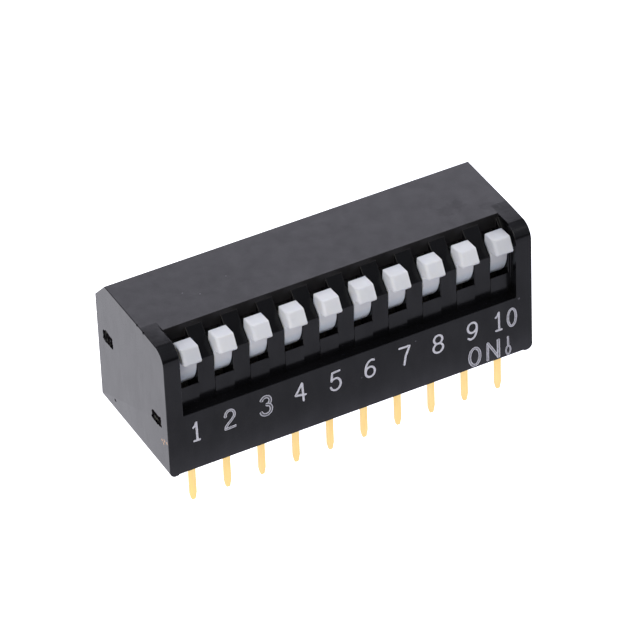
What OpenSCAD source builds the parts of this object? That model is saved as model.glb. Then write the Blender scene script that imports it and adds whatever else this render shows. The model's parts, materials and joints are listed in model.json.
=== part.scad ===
// Side-actuated DIP switch: a row of rocking levers in a black moulded case,
// closed from below by an insert-moulded terminal base. X runs along the row,
// the levers and the number panel face -Y, and Z = 0 is the board surface.

/* [Switch row] */
// Number of switches in the row
poles = 10; // [2:1:12]
// Distance from one switch to the next
pitch = 2.54; // [2.5:0.02:3.2]
// Distance between the front and rear rows of terminals
row_span = 7.62; // [7.4:0.02:7.8]

/* [Case] */
// Depth of the case, front to back
case_d = 9.9; // [9.8:0.1:12]
// Height of the case above the board
case_h = 10.1; // [9.7:0.1:12.1]
// Thickness of the top wall
top_t = 1.1; // [0.9:0.05:1.2]
// Thickness of the back wall
back_t = 0.9; // [0.6:0.05:0.95]
// Thickness of the front number panel
panel_t = 0.9; // [0.6:0.05:0.95]
// Height of the front number panel's top edge above the board
panel_h = 4.65; // [4.1:0.05:5]
// Thickness of the ledge behind the panel's top edge
ledge_t = 0.35; // [0.25:0.05:0.5]
// Thickness of an end wall beside the lever recess
end_t = 1.19; // [0.9:0.01:2]
// Width and height of the bevel along the top back edge
back_bevel = 1.55; // [0.8:0.05:2]
// Radius of each end wall's top front corner
nose_r = 1.1; // [0.6:0.05:1.5]
// Length of each end wall's top that slopes down to that corner
nose_run = 2.15; // [1:0.05:2.5]
// Height that the sloping stretch loses
nose_fall = 0.07; // [0:0.01:0.15]
// Width of the foot strip that the case stands on at each end
foot_w = 0.65; // [0.5:0.05:1]
// Height of the foot strips
foot_h = 0.1; // [0.05:0.01:0.2]
// Radius along the bottom edge of each end
edge_r = 0.45; // [0.2:0.05:0.6]
// Depth of the gate pockets in the left end face
gate_depth = 0.3; // [0.1:0.05:0.5]

/* [Lever window] */
// Gap between a lever and each side of its slot
slot_gap = 0.04; // [0.02:0.01:0.1]
// Distance from the front face back to the top wall's front edge
recess_d = 2.29; // [2:0.01:2.5]
// Setback of the sill under each lever
sill_setback = 0.68; // [0.5:0.01:0.8]
// Thickness of that sill
sill_t = 0.52; // [0.4:0.01:0.7]
// Distance from the lever's axis down to the sill's top edge
sill_drop = 1.63; // [1.4:0.01:1.8]
// Fall of the sill's top towards the inside of the case
sill_fall = 0.6; // [0.4:0.05:0.8]
// Setback of the ribs between the levers
rib_setback = 0.7; // [0.65:0.01:0.9]
// Height above the shelf from which the ribs' front leans back towards its foot
rib_foot_h = 1.6; // [0.5:0.05:2]
// Distance by which it leans back at the foot
rib_foot_lean = 0.09; // [0.02:0.01:0.2]
// Height of the ribs' upright front edge above the lever's axis
rib_front_rise = 0.15; // [0:0.01:0.4]
// Height of the ribs above the lever's axis where they meet the top wall
rib_rise = 1.8; // [1.4:0.01:1.9]
// Distance from the lever's axis back to the ribs' rear edge
rib_back = 2.2; // [1.2:0.05:3]
// Height of the ribs' lower edge above the contacts' lowest point
rib_lift = 1.2; // [1:0.05:2]
// Width left of the end wall's step beside each outermost slot
end_rib_w = 0.2; // [0.1:0.01:0.5]

/* [Lever] */
// Width of a lever
lever_w = 1.26; // [1:0.01:1.6]
// Distance from the front face back to the lever's axis
axis_inset = 3.15; // [3:0.05:3.4]
// Gap between a lever's hub and the ceiling above it
hub_gap = 0.3; // [0.1:0.01:0.4]
// Angle that a lever turns from OFF to ON
throw = 28; // [15:1:30]
// Radius of the drum that fills the slot
drum_r = 2.5; // [2.3:0.05:2.6]
// Radius of the hub around the axis
hub_r = 0.7; // [0.66:0.01:0.9]
// Radius of each trunnion
trunnion_r = 0.5; // [0.3:0.05:0.55]
// Gap between the ends of two neighbouring trunnions
trunnion_end_gap = 0.28; // [0.1:0.02:0.5]
// Gap between a trunnion and its bearing
bearing_gap = 0.04; // [0.02:0.01:0.08]
// Height of the finger cap above the lever's axis
cap_rise = 1.52; // [1.3:0.01:1.7]
// Distance from the lever's axis forward to the cap's rear edge
cap_setout = 1.68; // [1.4:0.01:1.8]
// Length of the slope from the cap's top down to the lip
cap_slope_run = 0.5; // [0.3:0.01:0.7]
// Height that the cap gains towards its front
cap_tilt = 0.08; // [0:0.01:0.15]
// Distance by which the cap's rear face leans back at its foot
cap_back_lean = 0.08; // [0:0.01:0.15]
// Height above the lever's axis of the arm behind the cap
arm_rise = 0.3; // [0.25:0.05:0.6]
// Distance that the finger lip stands out beyond the drum
lip_out = 0.78; // [0.4:0.02:1]
// Height of the lip's tip above the lever's axis
lip_rise = 0.72; // [0.6:0.01:0.9]
// Height of the lip's blunt front
lip_h = 0.17; // [0.1:0.01:0.2]
// Thickness of the leg that carries the slider
leg_t = 1.3; // [0.8:0.05:1.4]
// Setback of each side of the leg from the lever's side
leg_setback = 0.08; // [0:0.01:0.2]

/* [Contacts] */
// Thickness of a terminal's metal
pin_t = 0.2; // [0.15:0.01:0.25]
// Width of a terminal's pin
pin_w = 0.5; // [0.4:0.01:0.6]
// Length of a pin below the board surface
pin_len = 3.33; // [2.5:0.01:4]
// Length of the taper at a pin's tip
tip_len = 0.55; // [0.3:0.05:0.8]
// Width of a pin's blunt end
tip_w = 0.28; // [0.15:0.01:0.35]
// Width of a fixed contact
contact_w = 0.9; // [0.6:0.05:1]
// Distance from the underside of the panel's ledge down to the contacts' lowest point
contact_drop = 0.7; // [0.6:0.05:1]
// Length that a fixed contact runs on past a slider's foot
contact_lap = 0.3; // [0.2:0.05:0.4]
// Height at which a terminal widens above the board
shoulder_z = 0.6; // [0.4:0.05:1]
// Height that the widening takes
shoulder_h = 0.25; // [0.1:0.05:0.5]
// Distance between a slider's two feet
foot_span = 1.84; // [1.5:0.02:2.3]
// Distance from the end of the lever's leg down to the feet's centres
foot_drop = 0.61; // [0.5:0.01:0.7]
// Radius of a slider's foot
foot_bend_r = 0.22; // [0.15:0.01:0.25]
// Thickness of a slider's spring strip
slider_t = 0.15; // [0.1:0.01:0.2]
// Width of a slider
slider_w = 0.8; // [0.6:0.05:1]
// Gap between a slider's feet and the fixed contacts
slider_gap = 0.02; // [0.01:0.01:0.05]
// Gap between the drum and the slider's clip
clip_gap = 0.4; // [0.2:0.05:0.5]

/* [Base] */
// Setback of the base's underside from the board surface
base_lift = 0.35; // [0.2:0.05:0.5]
// Wall left around each core pocket in the underside
core_wall = 0.8; // [0.6:0.05:0.9]
// Thickness left above each core pocket
core_roof = 1.1; // [0.8:0.05:1.5]
// Gap between a trunnion keeper and the walls beside it
keeper_gap = 0.05; // [0.02:0.01:0.1]

/* [Hidden] */
// True circles: the exact value only sets how smooth the preview looks.
$fn = 64;
// Overshoot that keeps cuts clear of the faces they pass through.
eps = 1;

slot_w = lever_w + 2 * slot_gap;
end_run = slot_w / 2 + end_rib_w + end_t;
case_l = pitch * (poles - 1) + 2 * end_run;
front_y = -case_d / 2;
back_y = case_d / 2;
recess_l = case_l - 2 * end_t;
ceiling_z = case_h - top_t;

// The levers' axis, and the edges that are placed from it.
axis_y = front_y + axis_inset;
axis_z = ceiling_z - hub_gap - hub_r;
recess_y = front_y + recess_d;
sill_y = front_y + sill_setback;
sill_back_y = sill_y + sill_t;
sill_z = axis_z - sill_drop;
rib_y = front_y + rib_setback;
rib_w = pitch - slot_w;
leg_w = lever_w - 2 * leg_setback;
trunnion_len = (pitch - lever_w - trunnion_end_gap) / 2;
bearing_r = trunnion_r + bearing_gap;
bearing_l = pitch * (poles - 1) + lever_w + 2 * (trunnion_len + bearing_gap);

// The room inside the case, which the base closes.
room_l = case_l - 2 * (end_t + end_rib_w);
room_front_y = front_y + panel_t;
room_back_y = back_y - back_t;
shelf_z = panel_h - ledge_t;
contact_z = shelf_z - contact_drop;
rib_z = contact_z + rib_lift;

// Angles around the levers' axis: 0 points to the front, 90 straight down.
drum_from = -9;
drum_to = 62;
leg_at = 82;
contact_r = axis_z - contact_z;
pin_y = row_span / 2;
pin_r = contact_r + pin_t / 2;
pin_at = acos((axis_y + pin_y) / pin_r);
foot_r = contact_r - slider_gap - foot_bend_r;
foot_at = angle_of(foot_span / 2);
lap_at = angle_of(contact_lap);
leg_r = foot_r - foot_drop;
clip_len = leg_r - drum_r - clip_gap;

// At OFF both of a slider's feet stand on the front contact. At ON they bridge
// the two: the front one ends just past one foot, the rear one starts just short
// of the other.
front_from = min(pin_at, leg_at - foot_at - lap_at);
front_to = leg_at + throw - foot_at + lap_at;
rear_from = leg_at + throw + foot_at - 1.5 * lap_at;
rear_to = rear_from + 4 * lap_at;

// Moulding gate pockets in the left end face: [y, z, width, height].
gates = [[back_y - back_bevel, 5.85, 1.2, 0.85], [front_y + back_bevel, 3.95, 1.2, 1.05]];

function two(n) = n < 10 ? str("0", n) : str(n);
function named(stem) = [for (n = [1:poles]) str(stem, two(n))];
function pole_x(n) = (n - (poles + 1) / 2) * pitch;
function around_axis(r, a) = [axis_y - r * cos(a), axis_z - r * sin(a)];
function angle_of(arc) = arc / contact_r * 180 / PI;

// Extrudes an outline given as [y, z] points to a bar of the given length, centred on X.
module bar(length, outline) {
    translate([-length / 2, 0, 0])
        rotate([90, 0, 90])
            linear_extrude(length) polygon(outline);
}

// A round bar along X, centred on X, with its axis through [y, z].
module round_bar(length, r, at) {
    translate([0, at[0], at[1]])
        rotate([0, 90, 0])
            cylinder(r = r, h = length, center = true);
}

// A box given by its lowest and highest corner.
module box(low, high) {
    translate(low) cube(high - low);
}

// A wedge around the levers' axis between two angles.
module wedge(length, from, to, reach) {
    bar(length, concat(
        [around_axis(0, 0)],
        [for (k = [0:3]) around_axis(reach, from + (to - from) * k / 3)]));
}

// The outside of the case, with its bevelled back, sloping end tops, round corners
// and the two foot strips it stands on.
module case_block() {
    nose_y = front_y + nose_r;
    nose_z = case_h - nose_fall;
    slope_y = nose_y + nose_run;
    difference() {
        bar(case_l, [
            [front_y, 0],
            [back_y, 0],
            [back_y, case_h - back_bevel],
            [back_y - back_bevel, case_h],
            [front_y, case_h]]);
        for (side = [-1, 1])
            translate([side * (recess_l + end_t + eps) / 2, 0, 0])
                bar(end_t + eps, [
                    [slope_y, case_h],
                    [nose_y, nose_z],
                    [front_y - eps, nose_z],
                    [front_y - eps, case_h + eps],
                    [slope_y, case_h + eps]]);
        difference() {
            box([-case_l / 2 - eps, front_y - eps, nose_z - nose_r],
                [case_l / 2 + eps, nose_y, case_h + eps]);
            round_bar(case_l + 4 * eps, nose_r, [nose_y, nose_z - nose_r]);
        }
        for (side = [-1, 1])
            bottom_edge_cut(side);
        box([foot_w - case_l / 2, front_y - eps, -eps], [case_l / 2 - foot_w, back_y + eps, foot_h]);
    }
}

// Rounds the bottom edge of one end.
module bottom_edge_cut(side) {
    edge_x = side * (case_l / 2 - edge_r);
    difference() {
        translate([edge_x + side * edge_r, 0, 0])
            cube([2 * edge_r, case_d + 2 * eps, 2 * edge_r], center = true);
        translate([edge_x, 0, edge_r])
            rotate([90, 0, 0])
                cylinder(r = edge_r, h = case_d + 4 * eps, center = true);
    }
}

// The room inside the case, open at the bottom.
module case_room() {
    bevel_sum = back_y + case_h - back_bevel - back_t * sqrt(2);
    bar(room_l, [
        [room_front_y, -eps],
        [room_back_y, -eps],
        [room_back_y, bevel_sum - room_back_y],
        [bevel_sum - ceiling_z, ceiling_z],
        [sill_back_y, ceiling_z],
        [sill_back_y, shelf_z],
        [room_front_y, shelf_z]]);
}

// The open recess in front of the levers, above the number panel.
module lever_recess() {
    box([-recess_l / 2, front_y - eps, panel_h], [recess_l / 2, recess_y, case_h + eps]);
}

// A rib's side outline: above its upright front it slopes back to the top wall's front edge.
module rib(width) {
    bar(width, [
        [rib_y + rib_foot_lean, shelf_z],
        [rib_y, shelf_z + rib_foot_h],
        [rib_y, axis_z + rib_front_rise],
        [recess_y, axis_z + rib_rise],
        [recess_y, ceiling_z + top_t / 2],
        [axis_y + rib_back, ceiling_z + top_t / 2],
        [axis_y + rib_back, rib_z],
        [sill_back_y, rib_z],
        [sill_back_y, shelf_z]]);
}

// The sill under one lever, whose top falls inwards so that the drum turns clear of it.
module sill() {
    bar(slot_w, [
        [sill_y, shelf_z],
        [sill_y, sill_z],
        [sill_back_y, sill_z - sill_fall],
        [sill_back_y, shelf_z]]);
}

// The slot through all the ribs that bears the levers' trunnions, open downwards.
module bearing_slot() {
    round_bar(bearing_l, bearing_r, [axis_y, axis_z]);
    box([-bearing_l / 2, axis_y - bearing_r, -eps], [bearing_l / 2, axis_y + bearing_r, axis_z]);
}

// The moulded case: top, back, ends, number panel, ribs and sills in one piece.
module case() {
    color([0.16, 0.16, 0.17]) difference() {
        union() {
            difference() {
                case_block();
                case_room();
                lever_recess();
            }
            for (n = [1:poles - 1])
                translate([pole_x(n) + pitch / 2, 0, 0]) rib(rib_w);
            for (side = [-1, 1])
                translate([side * (recess_l / 2 - end_rib_w / 2), 0, 0]) rib(end_rib_w);
            for (n = [1:poles])
                translate([pole_x(n), 0, 0]) sill();
        }
        bearing_slot();
        for (gate = gates)
            translate([-case_l / 2, gate[0], gate[1]])
                cube([2 * gate_depth, gate[2], gate[3]], center = true);
    }
}

// One lever at OFF: finger cap, drum, hub, trunnions and the leg that carries its slider.
module lever(n) {
    cap_y = axis_y - cap_setout;
    cap_z = axis_z + cap_rise;
    arm_z = axis_z + arm_rise;
    lip_y = axis_y - drum_r - lip_out;
    lip_z = axis_z + lip_rise;
    color([0.93, 0.93, 0.94]) translate([pole_x(n), 0, 0]) {
        bar(lever_w, [
            [cap_y, cap_z],
            [lip_y + cap_slope_run, cap_z + cap_tilt],
            [lip_y, lip_z],
            [lip_y + lip_h / 2, lip_z - lip_h],
            around_axis(drum_r, drum_from),
            [axis_y, axis_z],
            [axis_y, arm_z],
            [cap_y + cap_back_lean, arm_z]]);
        intersection() {
            round_bar(lever_w, drum_r, [axis_y, axis_z]);
            wedge(lever_w, drum_from, drum_to, 2 * drum_r);
        }
        round_bar(lever_w, hub_r, [axis_y, axis_z]);
        round_bar(lever_w + 2 * trunnion_len, trunnion_r, [axis_y, axis_z]);
        leg_frame()
            box([-leg_w / 2, -leg_t / 2, -leg_r], [leg_w / 2, leg_t / 2, 0]);
    }
}

// Puts what hangs straight down from the origin onto the lever's leg.
module leg_frame() {
    translate([0, axis_y, axis_z]) rotate([leg_at - 90, 0, 0]) children();
}

// One slider: a spring strip clipped round the leg's end, with two rounded feet.
module slider(n) {
    clip_y = leg_t / 2 + slider_t;
    root_z = -leg_r - slider_t / 2;
    foot_y = foot_r * sin(foot_at);
    foot_z = -foot_r * cos(foot_at);
    color([0.84, 0.68, 0.38]) translate([pole_x(n), 0, 0]) leg_frame() {
        difference() {
            box([-slider_w / 2, -clip_y, -leg_r - slider_t], [slider_w / 2, clip_y, clip_len - leg_r]);
            box([-leg_w / 2 - eps, -leg_t / 2, -leg_r], [leg_w / 2 + eps, leg_t / 2, eps]);
        }
        for (side = [-1, 1]) {
            round_bar(slider_w, foot_bend_r, [side * foot_y, foot_z]);
            bar(slider_w, [
                [side * (leg_t / 2 - slider_t / 2), root_z],
                [side * clip_y, root_z],
                [side * (foot_y + foot_bend_r / 2), foot_z],
                [side * (foot_y - foot_bend_r / 2), foot_z]]);
        }
    }
}

// The curved contact strip between two angles, around the levers' axis.
module contact_arc(from, to) {
    intersection() {
        difference() {
            round_bar(contact_w, contact_r + pin_t, [axis_y, axis_z]);
            round_bar(contact_w + eps, contact_r, [axis_y, axis_z]);
        }
        wedge(contact_w, from, to, 2 * contact_r);
    }
}

// A terminal's pin, from its tapered tip up to the given height.
module pin(y, top) {
    translate([0, y + pin_t / 2, 0]) rotate([90, 0, 0]) linear_extrude(pin_t) polygon([
        [-tip_w / 2, -pin_len],
        [tip_w / 2, -pin_len],
        [pin_w / 2, tip_len - pin_len],
        [pin_w / 2, shoulder_z],
        [contact_w / 2, shoulder_z + shoulder_h],
        [contact_w / 2, top],
        [-contact_w / 2, top],
        [-contact_w / 2, shoulder_z + shoulder_h],
        [-pin_w / 2, shoulder_z],
        [-pin_w / 2, tip_len - pin_len]]);
}

// One front terminal: its pin rises into the curved contact under the lever.
module front_terminal(n) {
    color([0.93, 0.76, 0.36]) translate([pole_x(n), 0, 0]) {
        pin(-pin_y, around_axis(pin_r, pin_at)[1]);
        contact_arc(front_from, front_to);
    }
}

// One rear terminal: its strip lies on the base and turns down into the rear pin.
module rear_terminal(n) {
    strip_end = around_axis(contact_r, rear_to);
    color([0.93, 0.76, 0.36]) translate([pole_x(n), 0, 0]) {
        pin(pin_y, strip_end[1]);
        box([-contact_w / 2, strip_end[0] + pin_t / 4, strip_end[1] - pin_t],
            [contact_w / 2, pin_y + pin_t / 2, strip_end[1]]);
        contact_arc(rear_from, rear_to);
    }
}

// The moulded base: it closes the case, holds the terminals and keeps the trunnions in.
module base() {
    top_z = around_axis(contact_r, rear_to)[1] - pin_t;
    keeper_z = axis_z - bearing_r;
    keeper_w = rib_w - 2 * keeper_gap;
    end_keeper_w = (bearing_l - room_l) / 2 - keeper_gap;
    core_l = pitch - core_wall;
    core_y = pin_y - pin_t / 2 - core_wall;
    color([0.13, 0.13, 0.14]) difference() {
        union() {
            difference() {
                box([-room_l / 2, room_front_y, base_lift], [room_l / 2, room_back_y, top_z]);
                round_bar(room_l + eps, contact_r + pin_t, [axis_y, axis_z]);
            }
            for (n = [1:poles - 1])
                translate([pole_x(n) + pitch / 2, 0, 0])
                    box([-keeper_w / 2, axis_y - bearing_r, base_lift],
                        [keeper_w / 2, axis_y + bearing_r, keeper_z]);
            for (side = [-1, 1])
                translate([side * (room_l + end_keeper_w) / 2, 0, 0])
                    box([-end_keeper_w / 2, axis_y - bearing_r, base_lift],
                        [end_keeper_w / 2, axis_y + bearing_r, keeper_z]);
        }
        for (n = [1:poles])
            translate([pole_x(n), 0, 0])
                box([-core_l / 2, -core_y, 0], [core_l / 2, core_y, contact_z - pin_t - core_roof]);
        for (n = [1:poles]) {
            front_terminal(n);
            rear_terminal(n);
        }
    }
}

case();
base();
for (n = [1:poles]) {
    lever(n);
    slider(n);
    front_terminal(n);
    rear_terminal(n);
}
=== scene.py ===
import json
import math

import bmesh
import bpy
from mathutils import Matrix, Vector, noise


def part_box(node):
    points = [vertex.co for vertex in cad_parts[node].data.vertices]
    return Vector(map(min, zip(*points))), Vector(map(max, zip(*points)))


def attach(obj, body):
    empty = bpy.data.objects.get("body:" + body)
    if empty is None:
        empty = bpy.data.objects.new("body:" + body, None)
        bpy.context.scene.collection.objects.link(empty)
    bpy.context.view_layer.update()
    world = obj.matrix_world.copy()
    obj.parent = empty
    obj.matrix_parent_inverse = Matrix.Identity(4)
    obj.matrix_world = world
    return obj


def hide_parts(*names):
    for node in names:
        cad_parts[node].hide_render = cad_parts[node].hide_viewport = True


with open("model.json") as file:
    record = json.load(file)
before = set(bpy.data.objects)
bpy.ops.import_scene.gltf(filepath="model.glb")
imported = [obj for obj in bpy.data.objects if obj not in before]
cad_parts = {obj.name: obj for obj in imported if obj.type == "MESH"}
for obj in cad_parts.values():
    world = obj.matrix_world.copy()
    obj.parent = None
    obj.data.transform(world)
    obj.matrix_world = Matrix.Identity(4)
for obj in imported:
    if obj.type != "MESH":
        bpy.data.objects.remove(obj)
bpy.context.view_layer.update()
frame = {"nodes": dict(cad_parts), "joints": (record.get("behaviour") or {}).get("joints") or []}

# The meshes are built in millimetres and scaled to metres at the end.
MM = 0.001
# Two points this close, in millimetres, lie on the same line or plane.
NEAR = 0.01
TOUCHING = 0.001
HOUSING = "housing"
SCENE = bpy.context.scene

LEVERS = sorted(name for name in frame["nodes"] if name.startswith("lever_"))
SLIDERS = sorted(name for name in frame["nodes"] if name.startswith("slider_"))
TERMINALS = sorted(name for name in frame["nodes"] if "_terminal_" in name)
CASE_LOW, CASE_HIGH = (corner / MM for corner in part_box("case"))
PIN_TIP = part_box(TERMINALS[0])[0].z
PIVOT = {joint["child"]: Vector(joint["pos_m"]) / MM for joint in frame["joints"]}


# ---------------------------------------------------------------- node helpers

# A spot or speck is full inside this share of its radius; a spot's radius strays by the second share.
SOFT_EDGE = 0.6
SPOT_RAGGED = 0.4


def new_material(name):
    """A node material: (material, its node tree, its Principled shader)."""
    made = bpy.data.materials.new(name)
    made.use_nodes = True
    return made, made.node_tree, made.node_tree.nodes["Principled BSDF"]


def place(tree, stretch=(1, 1, 1)):
    """The point on the object in millimetres, squeezed along an axis so that patterns run along it."""
    where = tree.nodes.new("ShaderNodeTexCoord")
    scaled = tree.nodes.new("ShaderNodeVectorMath")
    scaled.operation = "MULTIPLY"
    scaled.inputs[1].default_value = [1 / MM / s for s in stretch]
    tree.links.new(where.outputs["Object"], scaled.inputs[0])
    return scaled.outputs[0]


def cloud(tree, size, detail=2.0, stretch=(1, 1, 1), shift=0.0):
    """Soft noise from 0 to 1 with features of the given size in millimetres."""
    made = tree.nodes.new("ShaderNodeTexNoise")
    made.noise_dimensions = "4D"
    made.inputs["W"].default_value = shift
    made.inputs["Scale"].default_value = 1 / size
    made.inputs["Detail"].default_value = detail
    tree.links.new(place(tree, stretch), made.inputs["Vector"])
    return made.outputs[0]


def remap(tree, value, low, high, to_low, to_high):
    """A value's range low..high moved to to_low..to_high, and held there outside it."""
    made = tree.nodes.new("ShaderNodeMapRange")
    for socket, number in zip(made.inputs[1:5], (low, high, to_low, to_high)):
        socket.default_value = number
    tree.links.new(value, made.inputs[0])
    return made.outputs[0]


def calc(tree, operation, a, b):
    """A sum, product, larger or smaller of two sockets or numbers."""
    made = tree.nodes.new("ShaderNodeMath")
    made.operation = operation
    for socket, value in zip(made.inputs, (a, b)):
        if isinstance(value, (int, float)):
            socket.default_value = value
        else:
            tree.links.new(value, socket)
    return made.outputs[0]


def times(tree, a, b):
    """The product of two sockets or numbers."""
    return calc(tree, "MULTIPLY", a, b)


def position(tree):
    """The point on the object in millimetres, as three sockets X, Y and Z."""
    apart = tree.nodes.new("ShaderNodeSeparateXYZ")
    tree.links.new(place(tree), apart.inputs[0])
    return apart.outputs


def stored(tree, name):
    """A number kept on the mesh's vertices."""
    made = tree.nodes.new("ShaderNodeAttribute")
    made.attribute_name = name
    return made.outputs["Fac"]


def blend_colour(tree, amount, a, b):
    """Colour a where amount is 0, colour b where it is 1."""
    made = tree.nodes.new("ShaderNodeMix")
    made.data_type = "RGBA"
    tree.links.new(amount, made.inputs["Factor"])
    for socket, value in zip((made.inputs[6], made.inputs[7]), (a, b)):
        if isinstance(value, tuple):
            socket.default_value = (*value, 1)
        else:
            tree.links.new(value, socket)
    return made.outputs[2]


def bump(tree, height, depth, under=None):
    """The surface normal roughened by a height from 0 to 1, depth millimetres tall."""
    made = tree.nodes.new("ShaderNodeBump")
    made.inputs["Distance"].default_value = depth * MM
    tree.links.new(height, made.inputs["Height"])
    if under is not None:
        tree.links.new(under, made.inputs["Normal"])
    return made.outputs[0]


def spot(tree, at, radius):
    """1 inside a ragged spot around a point of the object in millimetres, 0 outside it."""
    core = radius * SOFT_EDGE
    away = tree.nodes.new("ShaderNodeVectorMath")
    away.operation = "DISTANCE"
    away.inputs[1].default_value = at
    tree.links.new(place(tree), away.inputs[0])
    rough = remap(tree, cloud(tree, core, 1.0, shift=at[0]), 0.3, 0.7, 1 - SPOT_RAGGED, 1 + SPOT_RAGGED)
    return remap(tree, times(tree, away.outputs["Value"], rough), core, radius, 1, 0)


def spots(tree, places):
    """The spots of a list [(point, radius)] taken together."""
    total = None
    for at, radius in places:
        one = spot(tree, at, radius)
        total = one if total is None else calc(tree, "MAXIMUM", total, one)
    return total


def dust(tree, spacing, radius, share, shift):
    """Sparse pinhead specks: 1 inside a speck. Only a share of the cells have one."""
    cells = tree.nodes.new("ShaderNodeTexVoronoi")
    cells.voronoi_dimensions = "4D"
    cells.inputs["W"].default_value = shift
    cells.inputs["Scale"].default_value = 1 / spacing
    tree.links.new(place(tree), cells.inputs["Vector"])
    edge = radius / spacing
    near = remap(tree, cells.outputs["Distance"], SOFT_EDGE * edge, edge, 1, 0)
    parts = tree.nodes.new("ShaderNodeSeparateColor")
    tree.links.new(cells.outputs["Color"], parts.inputs[0])
    chosen = calc(tree, "LESS_THAN", parts.outputs[0], share)
    return times(tree, near, chosen)


# ---------------------------------------------------------------- materials

# Colours are linear red, green and blue.
BLACK_RESIN = (0.0024, 0.0024, 0.0030), (0.0046, 0.0045, 0.0054)
BLACK_SPECULAR = 0.5
CASE_GLOSS = 0.19
BASE_GLOSS = CASE_GLOSS + 0.1
# The wall behind the caps: a colour painted lighter than the resin, as painted light in the recess.
WALL_PAINTED_LIGHT = (0.019, 0.018, 0.019)
# Pale dust specks, and the colour of a painted glint at the panel's top right corner.
PALE_DUST_AND_GLINT = (0.16, 0.16, 0.18)
TAN_SMUDGE = (0.62, 0.33, 0.13)
# The lever window in millimetres: half its length, the foot and the front of the ribs' slopes, and the
# front and the back of the wall behind the caps.
WINDOW_HALF = 12.305
SLOPE_Z = 8.1
SLOPE_Y = -4.65
WALL_Y = -2.72
WALL_BACK_Y = -2.62

SCAR_BLACK = (0.0010, 0.0010, 0.0014), (0.012, 0.011, 0.012)
SCAR_FLAKE = (0.062, 0.063, 0.053)

LEVER_WHITE = (0.76, 0.775, 0.80), (0.80, 0.81, 0.83)
LEVER_RUBBED = (0.72, 0.73, 0.75)
LEVER_DUST = (0.42, 0.40, 0.38)
# Painted shade on the levers: the drum's shaded blue, the end levers' grey, and the dark of the hub and
# leg.
DRUM_SHADE_BLUE = (0.68, 0.745, 0.80)
END_LEVER_SHADE = (0.30, 0.32, 0.36)
HUB_AND_LEG_SHADE = (0.045, 0.043, 0.040)
# In millimetres: where the drum ends, the legs begin, the hubs begin and the row's end levers begin.
DRUM_TOP_Z = 7.6
LEG_TOP_Z = 5.80
HUB_FRONT_Y = -3.42
END_LEVER_X = 10.1

GOLD = (1.0, 0.71, 0.26), (1.0, 0.76, 0.31)
GOLD_BLUSH = (1.0, 0.66, 0.30)
# Painted shade on the plating inside the case.
INSIDE_CASE_SHADE = (0.16, 0.10, 0.05)

INK = (0.82, 0.82, 0.88)
INK_WORN = (0.68, 0.68, 0.74)
INK_FADED = (0.30, 0.30, 0.33)
INK_GROUND = (0.02, 0.02, 0.024)


def inside_window(tree):
    """Two masks: the ribs' slopes with the end walls' inner sides, which are moulded duller, and the
    wall behind the caps, which is matt and is painted lighter, as painted light."""
    x, y, z = position(tree)
    between_ends = remap(tree, calc(tree, "ABSOLUTE", x, 0), WINDOW_HALF, WINDOW_HALF + 0.015, 1, 0)
    window = times(tree, between_ends, remap(tree, z, SLOPE_Z, SLOPE_Z + 0.1, 0, 1))
    before_wall = remap(tree, y, WALL_Y, WALL_Y + 0.02, 1, 0)
    slopes = times(tree, remap(tree, y, SLOPE_Y, SLOPE_Y + 0.1, 0, 1), before_wall)
    from_wall = remap(tree, y, WALL_Y, WALL_Y + 0.02, 0, 1)
    wall = times(tree, from_wall, remap(tree, y, WALL_BACK_Y, WALL_BACK_Y + 0.02, 1, 0))
    return times(tree, window, slopes), times(tree, window, wall)


def black_plastic(name, shift, gloss, dark_marks=(), pale_marks_and_glint=(), dull_marks=(), tan_marks=()):
    """Moulded black resin: glossy, faintly streaked along Z, with sparse dust and small marks, one of
    them a painted glint, and painted light on the wall behind the caps.
    """
    made, tree, shader = new_material(name)
    tone = remap(tree, cloud(tree, 3.5, 4.0, shift=shift), 0.3, 0.7, 0, 1)
    colour = blend_colour(tree, tone, *BLACK_RESIN)
    specks = times(tree, dust(tree, 1.7, 0.045, 0.25, shift), 0.6)
    colour = blend_colour(tree, specks, colour, PALE_DUST_AND_GLINT)
    streaks = cloud(tree, 0.35, 2.0, (1, 1, 5), shift)
    wipe = cloud(tree, 2.2, 3.0, shift=shift + 5)
    rough = calc(tree, "ADD", remap(tree, streaks, 0.3, 0.7, -0.02, 0.02), gloss)
    rough = calc(tree, "ADD", rough, remap(tree, wipe, 0.3, 0.7, -0.02, 0.02))
    mottle = cloud(tree, 0.9, 3.0, (1, 1, 2.2), shift + 2)
    shine = remap(tree, mottle, 0.3, 0.7, BLACK_SPECULAR * 0.87, BLACK_SPECULAR * 1.13)
    slopes, wall = inside_window(tree)
    shine = times(tree, shine, remap(tree, slopes, 0, 1, 1, 0.5))
    shine = times(tree, shine, remap(tree, wall, 0, 1, 1, 0.3))
    # Painted light: the wall behind the caps gets a lighter colour than the rest of the resin.
    colour = blend_colour(tree, wall, colour, WALL_PAINTED_LIGHT)
    if pale_marks_and_glint:
        # Pale specks, and one painted glint at the panel's top right corner.
        colour = blend_colour(tree, times(tree, spots(tree, pale_marks_and_glint), 0.6), colour, PALE_DUST_AND_GLINT)
    if tan_marks:
        colour = blend_colour(tree, times(tree, spots(tree, tan_marks), 0.7), colour, TAN_SMUDGE)
    if dull_marks:
        shine = times(tree, shine, remap(tree, spots(tree, dull_marks), 0, 1, 1, 0.80))
    if dark_marks:
        nicks = spots(tree, dark_marks)
        rough = calc(tree, "MAXIMUM", rough, nicks)
        shine = times(tree, shine, remap(tree, nicks, 0, 1, 1, 0.1))
    tree.links.new(colour, shader.inputs["Base Color"])
    tree.links.new(rough, shader.inputs["Roughness"])
    tree.links.new(shine, shader.inputs["Specular IOR Level"])
    grain = bump(tree, cloud(tree, 0.11, 2.0, shift=shift), 0.0014)
    tree.links.new(bump(tree, streaks, 0.0022, grain), shader.inputs["Normal"])
    return made


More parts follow.
